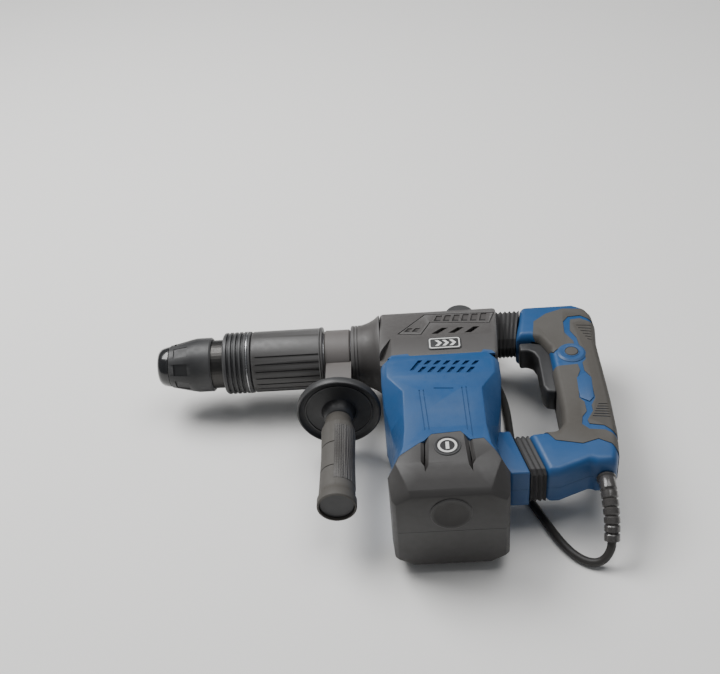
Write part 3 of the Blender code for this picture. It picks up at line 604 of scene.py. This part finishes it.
def cover_cuts(side):
    """Openings of one half of the gear cover: its chamber, vents, slots and worked faces."""
    inside = cover_shape([(TOP_Y - 5.0, 51.0), (-42.0, 51.0), (28.0, 28.0), (33.0, 21.5)],
                         -44.0, -2.8)
    shapes = [other_half(side), inside, turn(rod_profile(-64.0, -50.0, TUBE_R + 0.4)),
              box((-55.2, -40.0), (-80.0, 23.0), (-29.5, 29.5))]
    face = []
    frame_line = [(-11, 20), (61, 16), (54, -12), (-6, -2), (-16, -33), (-39, -29)]
    for start, end in zip(frame_line, frame_line[1:] + frame_line[:1]):
        face.append(slope_line(start, end, 1.3, 1.3))
    for x, y in LOUVRES:
        face.append(pocket([(x, y), (x + 6.4, y - 0.8), (x + 9.4, 15.0), (x + 3.4, 15.4)],
                           [2.5, 2.5, 1.0, 1.0]))
    for x, y in SMALL_LOUVRES:
        face.append(pocket([(x, y), (x + 5.2, y - 0.4), (x + 9.0, y + 8.4),
                            (x + 4.2, y + 8.8)], [2.0, 2.0, 1.0, 1.0]))
    for foot, head in (((-6, -33.5), (5, -19)), ((11, -33.5), (21, -20)),
                       ((27, -34.5), (37, -20))):
        face.append(pocket([foot, (foot[0] + 6.6, foot[1]), (head[0] + 6.6, head[1]), head],
                           [6.0] * 4))
    bevel = [(-46.0, -39.0), (-46.0, -101.0), (-80.0, -101.0)]
    face.append(loft([[(x, y, 54.2 + 0.94 * (x + 46.0)) for x, y in bevel],
                      [(x, y, 62.0) for x, y in bevel]]))
    return shapes + on_side(side, face)


DIAL_XY = (26.0, 26.2)
DIAL_Z = 26.0
for word, side in HALVES:
    cuts = cover_cuts(side)
    if side > 0:
        cuts.append(box((DIAL_XY[0] - 15.3, DIAL_XY[0] + 15.3), (10.0, 48.0),
                        (DIAL_Z - 3.6, DIAL_Z + 3.6)))
    piece(f"gear_cover_{word}_body", cover_shape(COVER_SECTION, -58.0, 0.0), GREY,
          "tool_body", (f"gear_cover_{word}",), cuts=cuts, edge=4.0, segments=4)


# painted shade: near-black plates inside the louvre pockets stand in for the slits' shadow
piece("louvre_gaps_left", louvre_shade_plates(), SLIT_SHADE, "tool_body")
piece("louvre_gaps_right", mirrored(louvre_shade_plates()), SLIT_SHADE, "tool_body")


def rounded(x, y, radius):
    """A rounded rectangle, anticlockwise."""
    corners = ((x[1] - radius, y[0] + radius, -90), (x[1] - radius, y[1] - radius, 0),
               (x[0] + radius, y[1] - radius, 90), (x[0] + radius, y[0] + radius, 180))
    return [p for cx, cy, start in corners for p in arc(cx, cy, radius, start, start + 90, 5)]


piece("badge_base", prism(rounded((-10.0, 22.5), (-61.5, -44.0), 3.0), 54.2, 55.0), BLACK,
      "tool_body", ("badge_plate",), edge=0.2)
piece("badge_frame", prism(rounded((-8.8, 21.3), (-60.3, -45.2), 2.4), 54.9, 55.3), WHITE,
      "tool_body", cuts=[prism(rounded((-7.6, 20.1), (-59.1, -46.4), 1.8), 50.0, 60.0)])
for k in range(3):
    x = -3.0 + 7.0 * k
    piece(f"badge_chevron_{k}", prism([
        (x, -57.0), (x + 3.2, -57.0), (x + 6.8, -52.7), (x + 3.2, -48.4), (x, -48.4),
        (x + 3.6, -52.7)], 54.9, 55.3), WHITE, "tool_body")


# ---------------------------------------------------------------- motor casing
CAP_Y = -195.0
END_Y = -245.0
WALL = 3.0
# y, flat, wide, corner, deep: the sides at z = deep reach out to x = flat, and the ends at
# x = wide reach out to z = corner
CASING = [
    (TOP_Y, 46.0, 56.0, 46.0, 57.0), (-81.0, 52.0, 57.0, 51.0, 57.0),
    (-101.0, 51.0, 57.0, 50.0, 57.0), (-122.0, 37.0, 55.0, 34.0, 57.0),
    (-150.0, 37.0, 50.0, 32.0, 57.0), (-172.0, 37.0, 45.5, 32.0, 57.0),
    (CAP_Y, 39.0, 48.5, 34.0, 57.0), (-216.0, 46.0, 54.0, 40.0, 57.0),
    (-240.0, 36.0, 51.5, 38.0, 49.0), (END_Y, 34.0, 48.0, 36.0, 44.0),
]
# the seam between housing and cap, from front to rear, as a line in the side view
SEAM = [(-90.0, -244.0), (-50.0, -212.0), (-25.0, -192.0), (-20.0, -189.0),
        (-13.0, -181.0), (13.0, -179.0), (21.0, -190.0), (33.0, -189.0), (46.0, -212.0),
        (60.0, -213.0), (95.0, -213.0)]
# where the housing reaches up over the gear cover
TABS = [[(-50.0, -74.0), (-27.0, -74.0), (-30.5, -68.2), (-46.0, -69.6)],
        [(39.0, -74.0), (54.0, -74.0), (51.0, -69.6), (43.0, -67.8)]]
ARM = [(42.0, -146.0), (61.0, -146.0), (73.8, -201.0), (56.0, -201.0), (53.0, -194.9),
       (42.0, -194.9)]


def casing_ring(station, thinner=0.0, dy=0.0):
    """The casing's section at one station, thinned for a chamber inside it."""
    y, flat, wide, corner, deep = station
    flat, wide = flat - thinner * 0.6, wide - thinner
    corner, deep = corner - thinner * 0.4, deep - thinner
    return [(x, y + dy, z) for x, z in four_fold([(flat, deep), (wide, corner)])]


def arm_block():
    block = prism(ARM, -22.0, 22.0)
    bmesh.ops.bevel(block, geom=list(block.edges), offset=2.4, segments=3, profile=0.5,
                    affect="EDGES")
    return block


def casing_cuts():
    """Chambers for the motor, its lower bearing and the cap's end."""
    stations = CASING[:7] + [(-213.0, 44.5, 53.0, 39.2, 57.0)]
    main = [casing_ring(s, WALL) for s in stations]
    main[0] = casing_ring(CASING[0], WALL, 2.0)
    end = [casing_ring((-229.0, 38.0, 50.0, 37.0, 50.0), WALL),
           casing_ring((END_Y + WALL, 34.0, 48.0, 36.0, 44.0), WALL)]
    hollow_arm = [(38.0, -149.0), (58.6, -149.0), (70.0, -198.0), (59.0, -198.0),
                  (55.0, -191.5), (38.0, -191.5)]
    return [loft(main), loft(end), turn(rod_profile(-235.0, -205.0, 11.3), "y"),
            prism(hollow_arm, -19.0, 19.0)]


def housing_vents():
    shapes = []
    for k in range(7):
        top = (-20.7 + 9.07 * k, -79.4 - 0.8 * k)
        lean, tall = (-8.6, 14.0) if k == 0 else (-4.4, 5.6)
        shapes.append(slot(top, lean, tall))
    for k in range(6):
        shapes.append(slot((-17.0 + 9.2 * k, -89.0 - 0.8 * k), -5.4, 7.6))
    for start, end in (((-21.5, -121.8), (-18.4, -175.6)), ((22.3, -120.6), (23.5, -187.7)),
                       ((-17.6, -121.8), (-14.5, -175.6)), ((18.4, -120.6), (19.6, -178.0)),
                       ((-7.9, -120.2), (10.6, -121.7))):
        shapes.append(strip(start, end, 0.9, 56.2, 62.0))
    return shapes


def cap_grooves():
    """The V grooves on both sides of the cap's raised middle panel."""
    shapes = []
    for sign, foot in ((-1.0, -226.5), (1.0, -228.0)):
        rim = [(14.0, -176.0), (23.5, -176.0), (25.0, -214.0), (21.0, foot), (16.0, -216.5)]
        bed = [(18.6, -176.0, 54.2), (19.6, -176.0, 54.2), (21.0, -214.0, 54.2),
               (20.6, foot + 3.0, 52.2), (20.0, -215.0, 54.2)]
        shapes.append(loft([[(sign * x, y, z) for x, y, z in bed],
                            [(sign * x, y, 58.0) for x, y in rim]]))
    return shapes


for word, side in HALVES:
    below = prism(SEAM + [(95.0, -FAR), (-90.0, -FAR)], -FAR, FAR)
    above = prism([(x, y - 0.4) for x, y in SEAM] + [(95.0, FAR), (-90.0, FAR)], -FAR, FAR)
    tabs = [prism(tab, *sorted((side * 54.3, side * 56.7))) for tab in TABS]
    piece(f"motor_housing_{word}_body", loft([casing_ring(s) for s in CASING]), BLUE,
          "tool_body", (f"motor_housing_{word}",), joins=[arm_block()] + tabs,
          cuts=casing_cuts() + [other_half(side), below] + on_side(side, housing_vents()),
          edge=1.6, angle=24.0)
    # the cap takes the darkened grey, which is painted shade
    piece(f"motor_cap_{word}_body", loft([casing_ring(s) for s in CASING]), CAP_SHADED_GREY,
          "tool_body", (f"motor_cap_{word}",),
          cuts=casing_cuts() + [other_half(side), above] + on_side(side, cap_grooves()),
          edge=1.2, angle=20.0)

piece("cap_emblem_base", turn([
    (56.9, 0.0), (56.9, 12.0), (57.5, 12.0), (57.9, 11.6), (57.9, 10.4), (57.6, 10.2),
    (57.6, 0.0)], "z", (0.3, -197.0)), BLACK, "tool_body")
piece("cap_emblem_ring", turn(tube_profile(57.5, 57.8, 6.6, 8.6), "z", (0.3, -197.0)),
      WHITE, "tool_body")
piece("cap_emblem_bar", prism([(-1.2, -201.4), (1.8, -201.4), (1.8, -192.6), (-1.2, -192.6)],
                              57.5, 57.8), WHITE, "tool_body")
# the end cover takes the cap's darkened grey, which is painted shade
piece("cap_end_cover", turn([
    (END_Y - 1.0, 0.0), (END_Y - 1.0, 14.0), (END_Y - 1.4, 15.0), (END_Y - 1.4, 17.6),
    (END_Y - 0.8, 18.5), (END_Y + 0.6, 18.5), (END_Y + 0.6, 0.0)], "y", (0.0, 22.5)),
    CAP_SHADED_GREY, "tool_body")


# ---------------------------------------------------------------- rear handle
HANDLE_HALF = 22.0
SOFT_PROUD = 0.7
BUTTON_XY = (133.5, -40.0)
HANDLE = [
    (91.0, 42.0), (146.0, 42.0), (157.0, 35.0), (163.0, 22.0), (164.0, 4.0),
    (161.0, -22.0), (161.0, -108.0), (159.5, -150.0), (156.0, -180.0), (152.0, -191.0),
    (135.0, -191.0), (130.0, -188.0), (101.0, -200.5), (88.8, -200.5), (76.8, -149.0),
    (104.0, -147.0), (111.0, -139.0), (113.0, -120.0), (113.0, -28.0), (106.0, -12.0),
    (96.0, -8.0), (81.4, -8.0),
]
FRONT_SOFT = [
    (102, 13), (116, 25), (134, 32), (173, 28), (170, 6), (162, 10), (151, 19), (138, 18),
    (132, 10), (131, -8), (138, -22), (138, -30), (128, -29), (121, -33), (116, -37),
    (112, -28), (105, -16), (99, -7),
]
LOWER_SOFT = [
    (100, -60), (121, -59), (137, -58), (138, -67), (134, -77), (131, -107), (135, -113),
    (135, -126), (130, -133), (128, -143), (134, -150), (148, -152), (155, -158),
    (161, -166), (157, -179), (151, -170), (140, -163), (125, -168), (101, -162),
    (93, -149), (89, -145), (100, -108),
]
REAR_SOFT = [
    (139, 9), (137, -5), (142, -17), (143, -30), (147, -40), (146, -51), (142, -56),
    (142, -68), (146, -76), (146, -108), (141, -118), (141, -126), (134, -138),
    (135, -143), (148, -146), (157, -156), (170, -157), (179, -55), (176, 6), (160, 7),
    (150, 14), (140, 13),
]


def handle_shape(proud=0.0):
    """The whole rear handle with sloped sides, or the same standing proud all round."""
    wide, narrow = inset(HANDLE, -proud), inset(HANDLE, 4.0 - proud)
    levels = [(-HANDLE_HALF - proud, narrow), (-16.0, wide), (16.0, wide),
              (HANDLE_HALF + proud, narrow)]
    return loft([[(x, y, z) for x, y in outline] for z, outline in levels])


def handle_cuts(side):
    return [other_half(side), prism(inset(HANDLE, 7.2), -18.6, 18.6),
            box((97.0, 124.0), (-90.0, -3.0), (-13.6, 13.6)),
            turn(rod_profile(-200.0, -180.0, 5.0), "y", (143.5, 0.0)),
            turn(rod_profile(12.0, 30.0, 6.8), "z", BUTTON_XY)]


def soft_window(region):
    """A cutter that leaves only a region of the side view."""
    outside = prism([(-200, -300), (300, -300), (300, 150), (-200, 150)], -FAR, FAR)
    window = raw("tool", outside)
    hole = raw("tool", prism(region, -450.0, 450.0))
    boolean(window, "DIFFERENCE", hole)
    bake(window, (hole,))
    return window


def rear_ribs():
    """Fine grip lines at the top and the bottom of the soft back."""
    lines = [((144.5 + 1.6 * k, 3.0 - 4.6 * k), (168.0, 0.0 - 5.2 * k)) for k in range(6)]
    lines += [((147.5 - 1.6 * k, -117.0 - 3.2 * k), (166.0, -118.5 - 3.6 * k))
              for k in range(6)]
    return [strip(start, end, 0.9, 21.9, 30.0) for start, end in lines]


for word, side in HALVES:
    piece(f"handle_shell_{word}_body", handle_shape(), BLUE, "rear_handle",
          (f"handle_shell_{word}",), cuts=handle_cuts(side), edge=3.0, segments=3)
    for part, region, gone in (("upper", FRONT_SOFT, ()), ("lower", LOWER_SOFT, ()),
                               ("rear", REAR_SOFT, ("grip_pad_rear", "grip_pad_front"))):
        window = soft_window(region)
        thing = raw(f"overmould_{part}_{word}", handle_shape(SOFT_PROUD))
        round_edges(thing, 3.0, 3)
        ribs = on_side(side, rear_ribs() if part == "rear" else [])
        tools = [window] + [raw("tool", shape) for shape in handle_cuts(side) + ribs]
        for tool in tools:
            boolean(thing, "DIFFERENCE", tool)
        bake(thing, tools)
        show(thing, SOFT, "rear_handle", gone if side > 0 else ())

piece("grip_plaque", prism([(133, -78), (138, -74), (143, -72), (147, -79), (145, -107),
                            (140, -113), (132, -107), (132, -96)], 22.2, 23.1), BLUE,
      "rear_handle", edge=0.4)
piece("button_boss", turn([(20.0, 7.0), (23.4, 7.0), (24.0, 8.0), (24.0, 12.0),
                           (22.6, 14.2), (20.0, 14.2)], "z", BUTTON_XY), BLUE,
      "rear_handle")
piece("button_rim", turn(ring_profile(23.2, 24.5, 6.9, 8.0, 0.3), "z", BUTTON_XY), BLUE,
      "rear_handle")
piece("lock_button_body", turn([(13.5, 0.0), (13.5, 6.4), (24.4, 6.4), (25.0, 5.8),
                                (25.2, 0.0)], "z", BUTTON_XY),
      SOFT, "lock_button", ("lock_button",), angle=40.0)
TRIGGER = [
    (84.5, -9.0), (96.0, -9.0), (112.0, -13.0), (116.0, -24.0), (116.0, -83.0),
    (112.0, -86.0), (104.0, -84.0), (101.0, -76.0), (101.0, -34.0), (98.0, -25.0),
    (92.0, -21.0), (84.5, -21.0),
]
piece("trigger_body", prism(TRIGGER, -12.8, 12.8), BLACK, "trigger", ("trigger",),
      edge=2.4, segments=3)


# ---------------------------------------------------------------- cord
CORD_R = 4.0
RELIEF = smooth_route([(143.5, -191.7, 0.0), (143.5, -204.5, -1.0), (143.5, -217.5, -7.5),
                       (143.4, -229.0, -16.8), (142.5, -239.0, -30.7)], 1.5)
relief_radii = []
for k in range(len(RELIEF)):
    along = k / (len(RELIEF) - 1)
    groove = 1.5 if 0.14 < along < 0.97 and k % 5 == 0 else 0.0
    relief_radii.append(9.0 if along < 0.04 else 7.9 - 0.8 * along - groove)
piece("strain_relief_body", sweep(RELIEF, relief_radii, 28), RELIEF_GLOSS, "rear_handle",
      ("strain_relief",), angle=28.0)

CORD_ROUTE = [
    (142.5, -238.3, -29.7), (141.3, -242.9, -37.4), (136.2, -246.2, -46.0),
    (128.6, -246.4, -51.0), (119.4, -242.2, -52.8), (110.6, -234.0, -53.0),
    (103.0, -222.6, -53.0), (96.4, -209.0, -53.0), (90.2, -194.4, -53.0),
    (83.6, -178.0, -53.0), (76.8, -160.0, -53.0), (71.6, -140.0, -53.0),
    (69.6, -118.0, -53.0), (69.2, -94.0, -53.0), (69.4, -68.0, -53.0),
    (69.2, -42.0, -53.0), (67.0, -18.0, -53.0), (62.0, 4.0, -53.0), (55.0, 22.0, -53.0),
    (49.0, 39.0, -53.0),
]
COIL_CENTRE = (-2.0, 56.0)
COIL_R = 48.0
COIL_TURNS = 3
PER_TURN = 24
COIL_STEP = 2.0 * CORD_R + 0.15
COIL_RISE = 2.0 * CORD_R + 0.1


def coil_points():
    """Inwards on the floor, up one thickness, and outwards again on top."""
    spots = []
    inner = COIL_R - COIL_STEP * COIL_TURNS
    for k in range(PER_TURN * COIL_TURNS + 1):
        spots.append((k, COIL_R - COIL_STEP * k / PER_TURN, 0.0))
    last = PER_TURN * COIL_TURNS
    for k in range(1, 7):
        spots.append((last + k, inner, COIL_RISE * k / 7.0))
    last += 7
    for k in range(PER_TURN * COIL_TURNS + 1):
        spots.append((last + k, inner + COIL_STEP * k / PER_TURN, COIL_RISE))
    return [(COIL_CENTRE[0] + r * math.cos(2.0 * math.pi * k / PER_TURN),
             COIL_CENTRE[1] + r * math.sin(2.0 * math.pi * k / PER_TURN),
             FLOOR + CORD_R + rise) for k, r, rise in spots]


# after the coil: round over its top and back to the plug, which lies on it
OVER_COIL = [(-26.0, 98.6, -43.8), (-38.0, 90.5, -40.5), (-44.5, 79.5, -36.8),
             (-43.5, 67.5, -33.4), (-33.0, 60.0, -30.6), (-17.0, 58.5, -28.6),
             (1.0, 58.5, -27.7)]


def as_curve(name, points, radius):
    """One open spline through the points, with round thickness and closed ends."""
    data = bpy.data.curves.new(name, "CURVE")
    data.dimensions = "3D"
    spline = data.splines.new("POLY")
    spline.points.add(len(points) - 1)
    for spot, p in zip(spline.points, points):
        spot.co = (*(LAY_OUT @ Vector(p)), 1.0)
    data.bevel_depth = radius * MM
    data.bevel_resolution = 4
    data.use_fill_caps = True
    return link(bpy.data.objects.new(name, data))


line = smooth_route(CORD_ROUTE + coil_points() + OVER_COIL, 3.0)
cord = as_curve("power_cord", line, CORD_R)
cord.data.materials.append(CORD_RUBBER)
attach(cord, "rear_handle")
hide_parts("cord", "cord_coil")


# ---------------------------------------------------------------- plug and dial
COIL_TOP = FLOOR + 16.3
PLUG_HALF = 13.0
PLUG_AT = Matrix.Translation((0.0, 58.5, COIL_TOP + PLUG_HALF))


def plug_ring(along, half_y, half_z, corner):
    quarter = [(half_y - corner, half_z), (half_y, half_z - corner)]
    return [(along, y, z) for y, z in four_fold(quarter)]


plug_shape = loft([plug_ring(0.0, 5.5, 5.5, 2.0), plug_ring(20.0, 7.0, 7.0, 2.5),
                   plug_ring(26.0, 14.0, 10.0, 4.0), plug_ring(34.0, 18.5, PLUG_HALF, 6.0),
                   plug_ring(50.0, 18.5, PLUG_HALF, 6.0)])
plug_shape.transform(PLUG_AT)
plug_grooves = []
for k in range(4):
    groove = turn(tube_profile(3.5 + 4.0 * k, 5.0 + 4.0 * k, 5.0, 12.0))
    groove.transform(PLUG_AT)
    plug_grooves.append(groove)
plug = piece("plug_shell", plug_shape, BLACK, "rear_handle", ("plug_body",),
             cuts=plug_grooves, edge=1.5, segments=3)

DIAL_NOTCHES = 30
dial_cuts = []
for k in range(DIAL_NOTCHES):
    angle = 2.0 * math.pi * k / DIAL_NOTCHES
    spot = (DIAL_XY[0] + 15.1 * math.cos(angle), DIAL_XY[1] + 15.1 * math.sin(angle))
    dial_cuts.append(turn(rod_profile(DIAL_Z - 6.0, DIAL_Z + 6.0, 1.1), "z", spot, 8))
piece("speed_dial_body", turn(rod_profile(DIAL_Z - 3.0, DIAL_Z + 3.0, 14.5, 0.5), "z",
                              DIAL_XY, 60), BLACK, "speed_dial", ("speed_dial",),
      cuts=dial_cuts)


# ---------------------------------------------------------------- CAD parts that stay
FINISHES = {
    "blue_plastic": BLUE, "grey_plastic": GREY, "black_plastic": BLACK,
    "gloss_rubber": GLOSS, "soft_grip": SOFT, "bellows_rubber": RUBBER,
    "tool_steel": STEEL, "cast_alloy": CAST, "laminated_iron": CORE, "copper": COPPER,
    "carbon": CARBON, "brass": BRASS, "badge_plate": WHITE,
}
for part in frame["record"]["subparts"]:
    node = NODES[part["node"]]
    for place in node.material_slots:
        place.material = FINISHES[part["material_slot"]]
NODES["tool_holder"].material_slots[0].material = NECK_STEEL


# ---------------------------------------------------------------- rubber and springs
def stretched(name, node, mat):
    """A copy of a CAD piece with its own material, in place of the CAD piece."""
    thing = link(bpy.data.objects.new(name, NODES[node].data.copy()))
    thing.data.materials.clear()
    thing.data.materials.append(mat)
    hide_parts(node)
    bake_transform(thing)


# the arm's end face leans
stretched("upper_bellows_rubber", "upper_bellows", RUBBER)
stretched("lower_bellows_rubber", "lower_bellows", RUBBER)
for part in ("upper", "lower"):
    stretched(f"{part}_damper_coil", f"{part}_damper_spring", STEEL)
stretched("sleeve_spring_coil", "sleeve_spring", STEEL)


# ---------------------------------------------------------------- stage
floor_mesh = bmesh.new()
bmesh.ops.create_grid(floor_mesh, x_segments=1, y_segments=1, size=12.0)
floor_data = bpy.data.meshes.new("floor")
floor_mesh.to_mesh(floor_data)
floor_mesh.free()
floor = link(bpy.data.objects.new("floor", floor_data))
floor.location = (0.0, 0.0, -0.0004)
pale, _, shader = nodes_of("pale_floor")
shader.inputs["Base Color"].default_value = (0.80, 0.79, 0.77, 1.0)
shader.inputs["Roughness"].default_value = 0.75
floor_data.materials.append(pale)


def area_light(name, at, towards, size, power):
    data = bpy.data.lights.new(name, "AREA")
    data.shape = "RECTANGLE"
    data.size, data.size_y = size
    data.energy = power
    lamp = link(bpy.data.objects.new(name, data))
    lamp.location = at
    aim = Vector(towards) - Vector(at)
    lamp.rotation_euler = aim.to_track_quat("-Z", "Y").to_euler()


area_light("window", (-0.9, 0.7, 1.6), (0.0, 0.1, 0.0), (1.2, 1.0), 44.0)
area_light("ceiling", (0.4, 0.3, 2.0), (0.0, 0.1, 0.0), (1.4, 1.4), 24.0)
area_light("fill", (0.4, -1.6, 0.9), (0.0, 0.0, 0.05), (1.4, 1.0), 1.0)
world = bpy.data.worlds.new("room")
world.use_nodes = True
sky = world.node_tree.nodes["Background"]
sky.inputs["Color"].default_value = (0.75, 0.78, 0.82, 1.0)
sky.inputs["Strength"].default_value = 0.24
bpy.context.scene.world = world

lens = bpy.data.cameras.new("photo_view")
lens.lens = 55.0
lens.sensor_width = 36.0
camera = link(bpy.data.objects.new("photo_view", lens))
# the photo's viewing angle, fitted to points on the tool
camera.matrix_world = Matrix((
    (0.99724, 0.05768, 0.04666, -0.02565),
    (-0.00020, 0.63105, -0.77574, -0.73625),
    (-0.07419, 0.77360, 0.62932, 0.80174),
    (0.0, 0.0, 0.0, 1.0)))
bpy.context.scene.camera = camera
